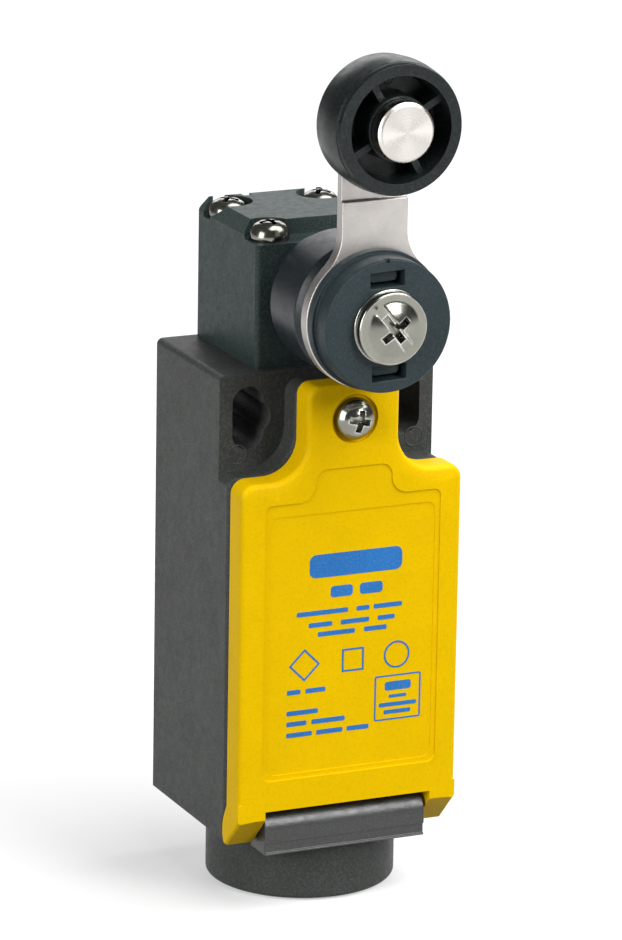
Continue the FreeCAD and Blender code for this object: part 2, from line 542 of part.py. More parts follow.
def make_cam():
    cam = rod(CAM_R, -7.0, -12.4, 0, SHAFT_Z)
    flat = box(-CAM_R, CAM_R, -13, -6, SHAFT_Z - 2 * CAM_R, SHAFT_Z - CAM_FLAT)
    return cam.cut([flat, rod(3.0, -6, -13, 0, SHAFT_Z)])


def make_lever():
    eye = rod(LEVER_EYE_R, LEVER_REAR, LEVER_FRONT, 0, SHAFT_Z)
    arm = box(-LEVER_HALF, LEVER_HALF, LEVER_FRONT, LEVER_REAR, SHAFT_Z, STEP_UP_Z)
    tongue = box(-LEVER_HALF, LEVER_HALF, TONGUE_FRONT, LEVER_REAR, STEP_UP_Z, ROLLER_Z)
    tip = rod(LEVER_HALF, LEVER_REAR, TONGUE_FRONT, 0, ROLLER_Z)
    plate = fuse([eye, arm, tongue, tip] + lever_flares())
    return plate.cut([square_hole(LEVER_REAR, LEVER_FRONT),
                      rod(PIN_R, LEVER_REAR + 1, TONGUE_FRONT - 1, 0, ROLLER_Z)])


def lever_flares():
    """Concave corners where the straight arm meets the round eye."""
    run = math.sqrt((LEVER_EYE_R + LEVER_FLARE_R) ** 2 - (LEVER_HALF + LEVER_FLARE_R) ** 2)
    corner = box(0, LEVER_HALF + LEVER_FLARE_R, LEVER_FRONT, LEVER_REAR, SHAFT_Z, SHAFT_Z + run)
    scoop = rod(LEVER_FLARE_R, LEVER_REAR + 1, LEVER_FRONT - 1, LEVER_HALF + LEVER_FLARE_R, SHAFT_Z + run)
    touch_x = LEVER_EYE_R * (LEVER_HALF + LEVER_FLARE_R) / (LEVER_EYE_R + LEVER_FLARE_R)
    trim = box(touch_x, 2 * LEVER_EYE_R, LEVER_FRONT - 1, LEVER_REAR + 1, SHAFT_Z, SHAFT_Z + run + 1)
    return mirrored(corner.cut([scoop, trim]))


def square_hole(rear, front):
    half = SQUARE_HALF + SQUARE_FIT
    return box(-half, half, front - 1, rear + 1, SHAFT_Z - half, SHAFT_Z + half)


def make_disc():
    profile = [(0, LEVER_FRONT), (DISC_FLANGE_R, LEVER_FRONT), (DISC_FLANGE_R, DISC_FLANGE_FRONT),
               (DISC_R, DISC_FLANGE_FRONT), (DISC_R, DISC_FRONT + DISC_CHAMFER),
               (DISC_R - DISC_CHAMFER, DISC_FRONT), (0, DISC_FRONT)]
    disc = turned(profile, 0, SHAFT_Z)
    cuts = [box(-DISC_NOTCH_HALF, DISC_NOTCH_HALF, DISC_FRONT - 1, DISC_FRONT + DISC_NOTCH_DEEP,
                SHAFT_Z + DISC_R - DISC_NOTCH_LOW, SHAFT_Z + DISC_R + 1)]
    for side in (-1, 1):
        z = SHAFT_Z + side * WINDOW_Z
        window = box(-WINDOW_HALF, WINDOW_HALF, DISC_FRONT - 1, DISC_FRONT + WINDOW_DEEP,
                     z - WINDOW_TALL / 2, z + WINDOW_TALL / 2)
        lug = box(-LUG_HALF, LUG_HALF, DISC_FRONT + LUG_BACK, DISC_FRONT + WINDOW_DEEP + EPS,
                  z - LUG_LOW, z + LUG_HIGH)
        corners = [e for e in lug.Edges if e.BoundBox.YLength > WINDOW_DEEP - LUG_BACK]
        cuts.append(window.cut(lug.makeFillet(LUG_R, corners)))
    for cut in cuts:
        cut.rotate(Vec(0, 0, SHAFT_Z), AXIS_Y, DISC_TURN)
    return disc.cut(cuts + [square_hole(LEVER_FRONT, DISC_FRONT)])


def make_washer():
    ring = turned([(0, DISC_FRONT), (WASHER_R, DISC_FRONT), (WASHER_R, WASHER_FRONT + WASHER_EDGE),
                   (WASHER_R - WASHER_EDGE, WASHER_FRONT), (0, WASHER_FRONT)], 0, SHAFT_Z)
    return ring.cut(rod(LEVER_SCREW_R + WASHER_FIT, DISC_FRONT + 1, WASHER_FRONT - 1, 0, SHAFT_Z))


def make_lever_screw():
    """Combination-recess screw: a dome inside a flat rim, with one long slot and a cross."""
    rim, dome, tall = SCREW_RIM_FRONT, SCREW_DOME_R, SCREW_DOME_TALL
    steps = [i / 8 for i in range(9)]
    profile = [(dome * t, rim - tall * (1 - t * t)) for t in steps]
    profile += [(SCREW_RIM_R - 0.15, rim), (SCREW_RIM_R, rim + 0.15), (SCREW_RIM_R, WASHER_FRONT),
                (LEVER_SCREW_R, WASHER_FRONT), (LEVER_SCREW_R, LEVER_SCREW_TIP),
                (LEVER_SCREW_R - 0.6, LEVER_TAP_END), (0, LEVER_TAP_END)]
    screw = turned(profile, 0, SHAFT_Z)
    top = rim - tall
    long_slot = box(-SCREW_SLOT_HALF, SCREW_SLOT_HALF, top - 1, top + SCREW_SLOT_DEEP,
                    SHAFT_Z - SCREW_SLOT_WIDE / 2, SHAFT_Z + SCREW_SLOT_WIDE / 2)
    long_slot.rotate(Vec(0, 0, SHAFT_Z), AXIS_Y, SCREW_TURN)
    return cross_cut(screw.cut(long_slot), 0, SHAFT_Z, top - EPS, SCREW_TURN,
                     SCREW_CROSS_REACH, SCREW_CROSS_WIDE, SCREW_CROSS_DEEP)


def make_roller():
    mid = (ROLLER_FRONT + ROLLER_REAR) / 2
    profile = [(BORE_R, ROLLER_REAR), (ROLLER_R - 0.7, ROLLER_REAR), (ROLLER_R - 0.25, ROLLER_REAR - 0.5),
               (ROLLER_R, mid + 0.6), (ROLLER_R, mid - 0.6), (ROLLER_R - 0.2, ROLLER_FRONT + 0.95),
               (ROLLER_R - 0.5, ROLLER_FRONT + 0.75), (ROLLER_R - 0.25, ROLLER_FRONT + 0.55),
               (RING_OUT, ROLLER_FRONT), (RING_IN, ROLLER_FRONT), (RING_IN - 0.25, RECESS_Y),
               (HUB_R + 0.2, RECESS_Y), (HUB_R, HUB_FRONT), (BORE_R, HUB_FRONT)]
    body = turned(profile, 0, ROLLER_Z)
    ribs = []
    for angle in RIB_ANGLES:
        rib = box(HUB_R - 0.2, RING_IN, ROLLER_FRONT + RIB_BACK, RECESS_Y + EPS,
                  ROLLER_Z - RIB / 2, ROLLER_Z + RIB / 2)
        rib.rotate(Vec(0, 0, ROLLER_Z), AXIS_Y, -angle)
        ribs.append(rib)
    return body.fuse(ribs).removeSplitter()


def make_roller_pin():
    rear, end = LEVER_REAR, LEVER_REAR + RIVET_TALL
    profile = [(0, end), (RIVET_R - RIVET_EDGE, end), (RIVET_R, end - RIVET_EDGE), (RIVET_R, rear),
               (PIN_R, rear), (PIN_R, PIN_HEAD_REAR), (PIN_HEAD_R, PIN_HEAD_REAR),
               (PIN_HEAD_R, PIN_HEAD_FRONT + PIN_CHAMFER), (PIN_HEAD_R - PIN_CHAMFER, PIN_HEAD_FRONT),
               (0, PIN_HEAD_FRONT)]
    return turned(profile, 0, ROLLER_Z)


def make_guide():
    return post(GUIDE_R, GUIDE_LOW, BODY_TOP, 0, PLUNGER_Y).cut(
        post(PLUNGER_R + FIT, GUIDE_LOW - 1, BODY_TOP + 1, 0, PLUNGER_Y)
    )


def make_plunger():
    under = PLUNGER_TOP - PLUNGER_HEAD_TALL
    stem = post(PLUNGER_R, PLUNGER_END, under, 0, PLUNGER_Y)
    return stem.fuse(post(PLUNGER_HEAD_R, under, PLUNGER_TOP, 0, PLUNGER_Y)).removeSplitter()


def make_plunger_spring():
    low = BODY_TOP + 0.05
    return spring(2.65, 0.2, PLUNGER_TOP - 1.25 - low, 3, Vec(0, PLUNGER_Y, low), AXIS_Z)


def make_contact_block():
    block = box(-BLOCK_HALF, BLOCK_HALF, BLOCK_FRONT, BLOCK_BACK, BLOCK_LOW, BLOCK_TOP)
    half = CARRIER_HALF + SLOT_GAP
    rear, front = CARRIER_Y[1] + SLOT_GAP, CARRIER_Y[0] - SLOT_GAP
    cuts = [box(-half, half, front, rear, BLOCK_LOW + 1.0, BLOCK_TOP + EPS)]
    for level, below, above in ((NC_Z, 0.5, 1.6), (NO_Z, 2.4, BRIDGE_THICK + 0.5)):
        cuts.append(box(-POCKET_HALF, POCKET_HALF, *POCKET_Y, level - TRAVEL - below, level + above))
    for side in (-1, 1):
        for tip in strip_levels():
            x0, x1 = sorted((side * (STRIP_X[0] - 0.05), side * (STRIP_X[1] + 0.05)))
            cuts.append(box(x0, x1, BLOCK_FRONT - EPS, STRIP_SLOT_Y,
                            tip - PART_LINE, tip + STRIP_THICK + PART_LINE))
            cuts.append(rod(TERMINAL_SHANK_R, -12.5, BLOCK_FRONT - EPS,
                            side * TERMINAL_X, terminal_level(tip)))
        cuts.append(rod(BLOCK_SCREW_R, BLOCK_BACK + 1, BLOCK_FRONT - 1,
                        side * BLOCK_SCREW_X, BLOCK_SCREW_Z))
    return block.cut(cuts)


def strip_levels():
    """Lower faces of the fixed-contact strips: above the opening bridge and below the closing one."""
    return (NC_Z + BRIDGE_THICK + STRIP_GAP, NO_Z - TRAVEL - STRIP_GAP - STRIP_THICK)


def terminal_level(strip):
    return strip + 3.4 if strip > BLOCK_SCREW_Z else strip - 2.7


def make_fixed_contacts():
    strips = []
    for tip in strip_levels():
        centre = terminal_level(tip)
        upward = centre > tip
        near = tip if upward else tip + STRIP_THICK
        low, high = sorted((near, centre + (STRIP_REACH if upward else -STRIP_REACH)))
        blade = box(STRIP_X[0], STRIP_X[1], TERMINAL_FRONT + 0.9, -8.0, tip, tip + STRIP_THICK)
        plate = box(STRIP_X[0], STRIP_X[1], TERMINAL_FRONT, BLOCK_FRONT, low, high)
        solid = fuse([blade, plate]).cut(
            rod(TERMINAL_SHANK_R + 0.1, BLOCK_FRONT + 1, TERMINAL_FRONT - 1, TERMINAL_X, centre)
        )
        strips += mirrored(solid)
    return strips


def make_terminal_screws():
    screws = []
    for tip in strip_levels():
        z = terminal_level(tip)
        under = TERMINAL_FRONT - 0.8
        profile = [(0, under - 1.5), (TERMINAL_SCREW_R - 0.3, under - 1.5), (TERMINAL_SCREW_R, under - 1.1),
                   (TERMINAL_SCREW_R, under), (TERMINAL_SHANK_R, under), (TERMINAL_SHANK_R, -12.9),
                   (0, -12.9)]
        for x in (-TERMINAL_X, TERMINAL_X):
            screws.append(cross_cut(turned(profile, x, z), x, z, under - 1.6, 20 + 9 * x, 1.4, 0.5, 0.9))
    return screws


def make_wire_clamps():
    clamps = []
    for tip in strip_levels():
        z = terminal_level(tip)
        for x in (-TERMINAL_X, TERMINAL_X):
            plate = box(x - 2.0, x + 2.0, TERMINAL_FRONT - 0.8, TERMINAL_FRONT, z - 2.2, z + 2.2)
            clamps.append(plate.cut(rod(TERMINAL_SHANK_R + 0.1, -16, -20, x, z)))
    return clamps


def make_block_screws():
    screws = []
    for side in (-1, 1):
        x, z, seat = side * BLOCK_SCREW_X, BLOCK_SCREW_Z, BLOCK_FRONT
        profile = [(0, seat - 1.6), (1.8, seat - 1.5), (2.3, seat - 1.0), (2.3, seat),
                   (BLOCK_SCREW_R, seat), (BLOCK_SCREW_R, -1.4), (BLOCK_SCREW_R - 0.5, -0.9), (0, -0.9)]
        screws.append(cross_cut(turned(profile, x, z), x, z, seat - 1.7, 35 * side, 1.5, 0.55, 1.0))
    return screws


def make_carrier():
    rear, front = CARRIER_Y[1], CARRIER_Y[0]
    carrier = box(-CARRIER_HALF, CARRIER_HALF, front, rear, CARRIER_LOW, CARRIER_TOP)
    windows = [
        box(-4, 4, BRIDGE_Y[0] - 0.02, BRIDGE_Y[1] + 0.02, level - 0.02, level + BRIDGE_THICK + 0.02)
        for level in (NC_Z, NO_Z)
    ]
    return carrier.cut(windows)


def make_bridges():
    bridges = []
    for level in (NC_Z, NO_Z):
        strip = box(-BRIDGE_HALF, BRIDGE_HALF, BRIDGE_Y[0], BRIDGE_Y[1], level, level + BRIDGE_THICK)
        bridges.append(strip)
    return bridges


def make_contact_spring():
    low = BLOCK_LOW + 1.05
    return spring(1.7, 0.25, CARRIER_LOW - 0.05 - low, 4, Vec(0, PLUNGER_Y, low), AXIS_Z)


NODES = {
    "housing": make_housing,
    "hinge_bar": make_hinge_bar,
    "hinge_pin": make_hinge_pin,
    "cover_gasket": make_gasket,
    "cover_insert": make_cover_insert,
    "front_cover": make_cover,
    "cover_screw": make_cover_screw,
    "head_housing": make_head,
    "head_seal": make_head_seal,
    "head_screws": make_head_screws,
    "bearing_boss": make_boss,
    "shaft_seal": make_shaft_seal,
    "return_spring": make_return_spring,
    "lever_shaft": make_shaft,
    "drive_cam": make_cam,
    "lever_arm": make_lever,
    "clamp_disc": make_disc,
    "screw_washer": make_washer,
    "lever_screw": make_lever_screw,
    "roller": make_roller,
    "roller_pin": make_roller_pin,
    "plunger_guide": make_guide,
    "plunger": make_plunger,
    "plunger_spring": make_plunger_spring,
    "contact_block": make_contact_block,
    "fixed_contacts": make_fixed_contacts,
    "terminal_screws": make_terminal_screws,
    "wire_clamps": make_wire_clamps,
    "block_screws": make_block_screws,
    "contact_carrier": make_carrier,
    "contact_bridges": make_bridges,
    "contact_spring": make_contact_spring,
}


def main():
    os.makedirs("parts", exist_ok=True)
    for name, make in NODES.items():
        made = make()
        solids = made if isinstance(made, list) else [made]
        shape = solids[0] if len(solids) == 1 else Part.makeCompound(solids)
        if not shape.isValid():
            print("invalid shape:", name)
        shape.exportStep(f"parts/{name}.step")
        print(f"{name}: {len(shape.Solids)} solid(s), {shape.Volume:.1f} mm3")


main()
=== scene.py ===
"""Looks for the roller-lever limit switch: finishes, printed marks and small moulding details."""

import math

import bmesh
import bpy
from mathutils import Matrix, Vector


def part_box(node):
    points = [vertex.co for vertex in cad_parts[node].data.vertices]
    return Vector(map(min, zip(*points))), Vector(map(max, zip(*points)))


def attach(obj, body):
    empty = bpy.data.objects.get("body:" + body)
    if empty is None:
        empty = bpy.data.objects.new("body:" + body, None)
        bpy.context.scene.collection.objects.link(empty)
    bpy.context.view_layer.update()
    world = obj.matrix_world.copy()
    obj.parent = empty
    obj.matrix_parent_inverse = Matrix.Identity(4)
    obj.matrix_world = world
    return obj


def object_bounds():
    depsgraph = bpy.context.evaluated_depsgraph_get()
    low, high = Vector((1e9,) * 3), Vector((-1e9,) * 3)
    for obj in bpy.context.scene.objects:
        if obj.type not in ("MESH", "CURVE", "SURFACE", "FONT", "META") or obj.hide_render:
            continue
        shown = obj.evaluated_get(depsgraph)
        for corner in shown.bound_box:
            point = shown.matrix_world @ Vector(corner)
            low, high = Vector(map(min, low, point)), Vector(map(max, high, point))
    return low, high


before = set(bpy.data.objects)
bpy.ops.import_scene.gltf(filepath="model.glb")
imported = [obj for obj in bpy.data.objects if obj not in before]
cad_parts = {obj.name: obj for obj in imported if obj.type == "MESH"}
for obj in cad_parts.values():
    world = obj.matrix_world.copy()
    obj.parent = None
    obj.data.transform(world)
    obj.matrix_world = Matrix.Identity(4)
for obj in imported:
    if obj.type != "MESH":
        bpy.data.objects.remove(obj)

MM = 0.001
cad_low, cad_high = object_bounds()
scene = bpy.context.scene


# --- material building ------------------------------------------------------------------------

EDGE_SAMPLES = 6
EDGE_TURN = (0.02, 0.3)  # how far the rounded normal turns away where the edge mask (wear and painted highlight) starts and where it is full
RING_PITCH, RING_DEPTH = 0.42, 0.004  # tool marks of the lathe, mm
RING_WOBBLE, RING_WOBBLE_SIZE = 0.15, 3.0  # how far the rings stray, and over what length, mm
CLOUDS, METAL_CLOUDS, SPECKLE, PITS, WEAR_AND_HIGHLIGHT_PATCH = 6.0, 2.4, 0.30, 0.36, 1.6  # detail sizes, mm
SINK_SIZE, SINK_DEPTH = 3.0, 0.02  # soft unevenness of a moulded face, mm
MOULDED_EDGE = 0.35  # reach of the paler edge on plastic, partly rubbed wear and partly painted highlight, mm
WHITE_MIX = 0.4  # how much of the paler edge (wear and painted highlight) survives where the patch noise is lowest


class Finish:
    """One procedural material, placed by object coordinates. Detail sizes are given in mm."""

    def __init__(self, name, rough, metallic=0.0, specular=0.5):
        self.mat = bpy.data.materials.new(name)
        self.mat.use_nodes = True
        self.tree = self.mat.node_tree
        self.shader = next(n for n in self.tree.nodes if n.type == "BSDF_PRINCIPLED")
        self.shader.inputs["Metallic"].default_value = metallic
        self.shader.inputs["Roughness"].default_value = rough
        self.shader.inputs["Specular IOR Level"].default_value = specular
        self.place = self.node("ShaderNodeTexCoord").outputs["Object"]
        self.normal = None

    def node(self, kind, **settings):
        made = self.tree.nodes.new(kind)
        for key, value in settings.items():
            setattr(made, key, value)
        return made

    def link(self, out, into):
        self.tree.links.new(out, into)

    def feed(self, socket, value):
        if isinstance(value, bpy.types.NodeSocket):
            self.link(value, socket)
        else:
            socket.default_value = value

    def noise(self, size_mm, detail=2.0, rough=0.5):
        noise = self.node("ShaderNodeTexNoise")
        noise.inputs["Scale"].default_value = 1 / (size_mm * MM)
        noise.inputs["Detail"].default_value = detail
        noise.inputs["Roughness"].default_value = rough
        self.link(self.place, noise.inputs["Vector"])
        return noise.outputs["Fac"]

    def lathe_rings(self, centre, pitch_mm):
        """Concentric tool marks round the Y line through centre = (x, z)."""
        split = self.node("ShaderNodeSeparateXYZ")
        self.link(self.place, split.inputs["Vector"])
        dx = self.math("SUBTRACT", split.outputs["X"], centre[0])
        dz = self.math("SUBTRACT", split.outputs["Z"], centre[1])
        squares = self.math("ADD", self.math("MULTIPLY", dx, dx), self.math("MULTIPLY", dz, dz))
        radius = self.math("SQRT", squares)
        wobble = self.math("MULTIPLY", self.noise(RING_WOBBLE_SIZE), RING_WOBBLE * MM)
        turns = self.math("MULTIPLY", self.math("ADD", radius, wobble), 2 * math.pi / (pitch_mm * MM))
        return self.remap(self.math("SINE", turns), -1.0, 1.0)

    def math(self, operation, a, b=0.0):
        made = self.node("ShaderNodeMath", operation=operation)
        self.feed(made.inputs[0], a)
        self.feed(made.inputs[1], b)
        return made.outputs[0]

    def remap(self, value, low, high, to_low=0.0, to_high=1.0):
        made = self.node("ShaderNodeMapRange", clamp=True)
        self.feed(made.inputs["Value"], value)
        for key, number in (("From Min", low), ("From Max", high), ("To Min", to_low), ("To Max", to_high)):
            made.inputs[key].default_value = number
        return made.outputs["Result"]

    def mix(self, factor, a, b):
        made = self.node("ShaderNodeMix", data_type="RGBA")
        self.feed(made.inputs["Factor"], factor)
        for socket, value in zip(self.colour_sockets(made.inputs), (a, b)):
            self.feed(socket, value if isinstance(value, bpy.types.NodeSocket) else (*value, 1.0))
        return self.colour_sockets(made.outputs)[0]

    def colour_sockets(self, sockets):
        return [socket for socket in sockets if socket.type == "RGBA"]

    def edges(self, width_mm):
        """1 along convex and concave edges, 0 on open surfaces."""
        bevel = self.node("ShaderNodeBevel", samples=EDGE_SAMPLES)
        bevel.inputs["Radius"].default_value = width_mm * MM
        dot = self.node("ShaderNodeVectorMath", operation="DOT_PRODUCT")
        self.link(bevel.outputs["Normal"], dot.inputs[0])
        self.link(self.node("ShaderNodeNewGeometry").outputs["Normal"], dot.inputs[1])
        return self.remap(self.math("SUBTRACT", 1.0, dot.outputs["Value"]), *EDGE_TURN)

    def bump(self, height, depth_mm):
        made = self.node("ShaderNodeBump")
        made.inputs["Distance"].default_value = depth_mm * MM
        self.link(height, made.inputs["Height"])
        if self.normal:
            self.link(self.normal, made.inputs["Normal"])
        self.normal = made.outputs["Normal"]

    def done(self, colour, rough=None):
        self.feed(self.shader.inputs["Base Color"], colour)
        if rough is not None:
            self.link(rough, self.shader.inputs["Roughness"])
        if self.normal:
            self.link(self.normal, self.shader.inputs["Normal"])
        return self.mat


def scaled(colour, factor):
    return [min(1.0, channel * factor) for channel in colour]


def moulded(name, colour, pale_wear_and_highlight_colour, rough, grain_mm=0.22, grain_depth=0.012, edge_wear_and_highlight=0.35, vary=0.12,
            specular=0.5, speckle=0.3):
    """Moulded plastic: spark-eroded grain, cloudy tone, fine speckle and paler edges, partly rubbed wear and
    partly painted highlight.
    """
    f = Finish(name, rough, specular=specular)
    tone = f.mix(f.remap(f.noise(CLOUDS, 3.0), 0.3, 0.7), scaled(colour, 1 - vary), scaled(colour, 1 + vary))
    tone = f.mix(f.remap(f.noise(SPECKLE, 1.0, 0.6), 0.45, 0.75, 0.0, speckle), tone, pale_wear_and_highlight_colour)
    pits = f.remap(f.noise(PITS, 1.0, 0.6), 0.25, 0.5, speckle * 0.7, 0.0)
    tone = f.mix(pits, tone, scaled(colour, 0.5))
    patches = f.remap(f.noise(WEAR_AND_HIGHLIGHT_PATCH, 3.0), 0.35, 0.65, edge_wear_and_highlight * WHITE_MIX, edge_wear_and_highlight)
    # paler edges: partly rubbed wear, partly a painted highlight along the rims
    tone = f.mix(f.math("MULTIPLY", f.edges(MOULDED_EDGE), patches), tone, pale_wear_and_highlight_colour)
    f.bump(f.noise(grain_mm, 2.0, 0.55), grain_depth)
    f.bump(f.noise(SINK_SIZE, 1.0), SINK_DEPTH)
    return f.done(tone, f.remap(f.noise(1.1, 3.0), 0.25, 0.75, rough - 0.06, rough + 0.08))


def metal(name, colour, rough, grain_mm=0.12, grain_depth=0.002, vary=0.08, spread=0.06, edge_mm=0.25,
          edge_highlight_colour=None, turned_about=None):
    """Bare or plated metal: fine grain, cloudy tone, edges painted brighter as a painted highlight, and lathe
    rings about (x, z).
    """
    f = Finish(name, rough, metallic=1.0)
    tone = f.mix(f.remap(f.noise(METAL_CLOUDS, 3.0), 0.3, 0.7), scaled(colour, 1 - vary),
                 scaled(colour, 1 + vary))
    dull = f.remap(f.noise(grain_mm * 2.5, 3.0, 0.7), 0.35, 0.8, 0.0, 0.06 if turned_about else 0.3)
    tone = f.mix(dull, tone, scaled(colour, 0.72))
    # painted highlight: a brighter colour along every edge stands in for the glint of light on the rims
    edge = f.math("MULTIPLY", f.edges(edge_mm), f.remap(f.noise(0.9), 0.3, 0.7, 0.4, 0.95))
    tone = f.mix(edge, tone, edge_highlight_colour or scaled(colour, 1.15))
    f.bump(f.noise(grain_mm, 3.0, 0.6), grain_depth)
    if turned_about:
        f.bump(f.lathe_rings(turned_about, RING_PITCH), RING_DEPTH)
        f.shader.inputs["Anisotropic"].default_value = 0.75
        tangent = f.node("ShaderNodeTangent", direction_type="RADIAL", axis="Y")
        f.link(tangent.outputs["Tangent"], f.shader.inputs["Tangent"])
    return f.done(tone, f.remap(f.noise(1.3, 3.0), 0.25, 0.75, rough - spread, rough + spread))


roller_low, roller_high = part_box("roller")
ROLLER_AXIS = (0.0, (roller_low.z + roller_high.z) / 2)
YELLOW = (0.82, 0.51, 0.0)
MATERIALS = {
    "body_plastic": moulded("body_grain", (0.042, 0.047, 0.044), (0.12, 0.115, 0.11), rough=0.50,
                            grain_mm=0.28, grain_depth=0.02, specular=0.2, speckle=0.45),
    "head_plastic": moulded("head_grain", (0.024, 0.038, 0.036), (0.085, 0.105, 0.10), rough=0.44,
                            grain_mm=0.25, grain_depth=0.014, specular=0.15, speckle=0.4),
    "boss_plastic": moulded("boss_grain", (0.010, 0.014, 0.016), (0.05, 0.07, 0.08), rough=0.32,
                            grain_mm=0.2, grain_depth=0.006, specular=0.3),
    "disc_plastic": moulded("disc_grain", (0.022, 0.034, 0.038), (0.045, 0.065, 0.08), rough=0.42,
                            grain_mm=0.22, grain_depth=0.012, specular=0.22, speckle=0.45),
    "roller_plastic": moulded("roller_grain", (0.006, 0.009, 0.009), (0.045, 0.06, 0.06), rough=0.32,
                              grain_mm=0.2, grain_depth=0.008, specular=0.26, speckle=0.35),
    # the pale speckle on the hinge bar is partly grain and partly painted glints of sparkle
    "hinge_plastic": moulded("hinge_grain", (0.006, 0.009, 0.008), (0.06, 0.054, 0.054), rough=0.36,
                             grain_mm=0.24, grain_depth=0.02, edge_wear_and_highlight=0.1, specular=0.75, speckle=0.5),
    # the brighter yellow along the cover's edges is partly wear and partly a painted highlight
    "cover_plastic": moulded("cover_yellow", YELLOW, (0.92, 0.62, 0.0), rough=0.45,
                             grain_mm=0.25, grain_depth=0.014, edge_wear_and_highlight=0.25, vary=0.03, specular=0.06,
                             speckle=0.22),
    "block_plastic": moulded("block_grain", (0.05, 0.05, 0.048), (0.13, 0.13, 0.12), rough=0.55,
                             grain_mm=0.3, grain_depth=0.01),
    "carrier_plastic": moulded("carrier_grain", (0.45, 0.43, 0.38), (0.6, 0.58, 0.52), rough=0.5,
                               grain_mm=0.3, grain_depth=0.01),
    "guide_plastic": moulded("guide_grain", (0.35, 0.33, 0.28), (0.5, 0.48, 0.42), rough=0.45,
                             grain_mm=0.3, grain_depth=0.01),
    "gasket_rubber": moulded("gasket_grain", (0.008, 0.009, 0.009), (0.03, 0.03, 0.03), rough=0.68,
                             grain_mm=0.2, grain_depth=0.01, specular=0.3),
    "stainless_plate": metal("stainless_satin", (0.50, 0.475, 0.455), rough=0.44, grain_mm=0.20,
                             grain_depth=0.018, vary=0.05),
    "turned_steel": metal("steel_turned", (0.60, 0.57, 0.535), rough=0.28, grain_mm=0.1,
                          grain_depth=0.001, vary=0.03, spread=0.02, turned_about=ROLLER_AXIS),
    # painted highlight: the near-white edge colour on the dark plating paints the bright glint on the screw
    # rims
    "plated_steel": metal("steel_plated", (0.24, 0.24, 0.21), rough=0.19, grain_mm=0.2,
                          grain_depth=0.003, edge_mm=0.5, edge_highlight_colour=(0.88, 0.855, 0.82)),
    "spring_steel": metal("steel_spring", (0.50, 0.49, 0.47), rough=0.30, grain_mm=0.1),
    "brass": metal("brass_turned", (0.75, 0.55, 0.25), rough=0.28, grain_mm=0.1),
    "silver_contact": metal("silver_contact_face", (0.80, 0.78, 0.74), rough=0.25, grain_mm=0.1),
}
INK_BLUE = moulded("print_ink", (0.017, 0.165, 0.50), (0.30, 0.32, 0.20), rough=0.5, grain_mm=0.2,
                   grain_depth=0.004, edge_wear_and_highlight=0.1, vary=0.1, specular=0.2, speckle=0.2)

SLOT_OF = {n: o.material_slots[0].material.name for n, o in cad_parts.items()}
SOFTENED = {  # width of the rounded edge on each piece, mm
    "housing": 0.35, "front_cover": 0.18, "head_housing": 0.30, "bearing_boss": 0.18, "lever_arm": 0.16,
    "clamp_disc": 0.14, "screw_washer": 0.07, "lever_screw": 0.06, "cover_screw": 0.06,
    "head_screws": 0.06, "roller": 0.14, "roller_pin": 0.1, "hinge_bar": 0.15, "cover_gasket": 0.12,
    "contact_block": 0.15, "contact_carrier": 0.1, "fixed_contacts": 0.06, "terminal_screws": 0.06,
    "wire_clamps": 0.06, "block_screws": 0.06,
}
WELD_REACH, FLAT_ANGLE, EDGE_ANGLE, EDGE_STEPS = 2e-6, math.radians(0.6), math.radians(32), 3


def soften(node, width_mm):
    """Joins the mesh, merges its flat facets and rounds its edges."""
    weld = node.modifiers.new("weld", "WELD")
    weld.merge_threshold = WELD_REACH
    flat = node.modifiers.new("flat", "DECIMATE")
    flat.decimate_type = "DISSOLVE"
    flat.angle_limit = FLAT_ANGLE
    bevel = node.modifiers.new("soft_edges", "BEVEL")
    bevel.width = width_mm * MM
    bevel.segments = EDGE_STEPS
    bevel.limit_method = "ANGLE"
    bevel.angle_limit = EDGE_ANGLE
    bevel.use_clamp_overlap = True
    bevel.miter_outer = "MITER_ARC"
    normal = node.modifiers.new("shade", "WEIGHTED_NORMAL")
    normal.keep_sharp = False


for name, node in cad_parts.items():
    node.material_slots[0].material = MATERIALS[SLOT_OF[name].split(".")[0]]
    if name in SOFTENED:
        soften(node, SOFTENED[name])

# --- added pieces -----------------------------------------------------------------------------


def add_piece(name, bm, material, body, smooth=False):
    """Turns a bmesh into a piece that rides on a body."""
    bmesh.ops.recalc_face_normals(bm, faces=bm.faces)
    mesh = bpy.data.meshes.new(name)
    bm.to_mesh(mesh)
    bm.free()
    if smooth:
        mesh.polygons.foreach_set("use_smooth", [True] * len(mesh.polygons))
    mesh.materials.append(material)
    piece = bpy.data.objects.new(name, mesh)
    scene.collection.objects.link(piece)
    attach(piece, body)


def rounded_outline(x0, x1, z0, z1, radius, steps=5):
    """Corner points of a rounded rectangle in the XZ plane, anticlockwise, in mm."""
    points = []
    for cx, cz, start in ((x1 - radius, z1 - radius, 0), (x0 + radius, z1 - radius, 90),
                          (x0 + radius, z0 + radius, 180), (x1 - radius, z0 + radius, 270)):
        for i in range(steps + 1):
            a = math.radians(start + 90 * i / steps)
            points.append((cx + radius * math.cos(a), cz + radius * math.sin(a)))
    return points


def pad(bm, outline, y_back, y_front):
    """Closed prism over an outline, from y_back forward to y_front."""
    back = [bm.verts.new((x * MM, y_back * MM, z * MM)) for x, z in outline]
    front = [bm.verts.new((x * MM, y_front * MM, z * MM)) for x, z in outline]
    bm.faces.new(back)
    bm.faces.new(reversed(front))
    loop_walls(bm, back, front)


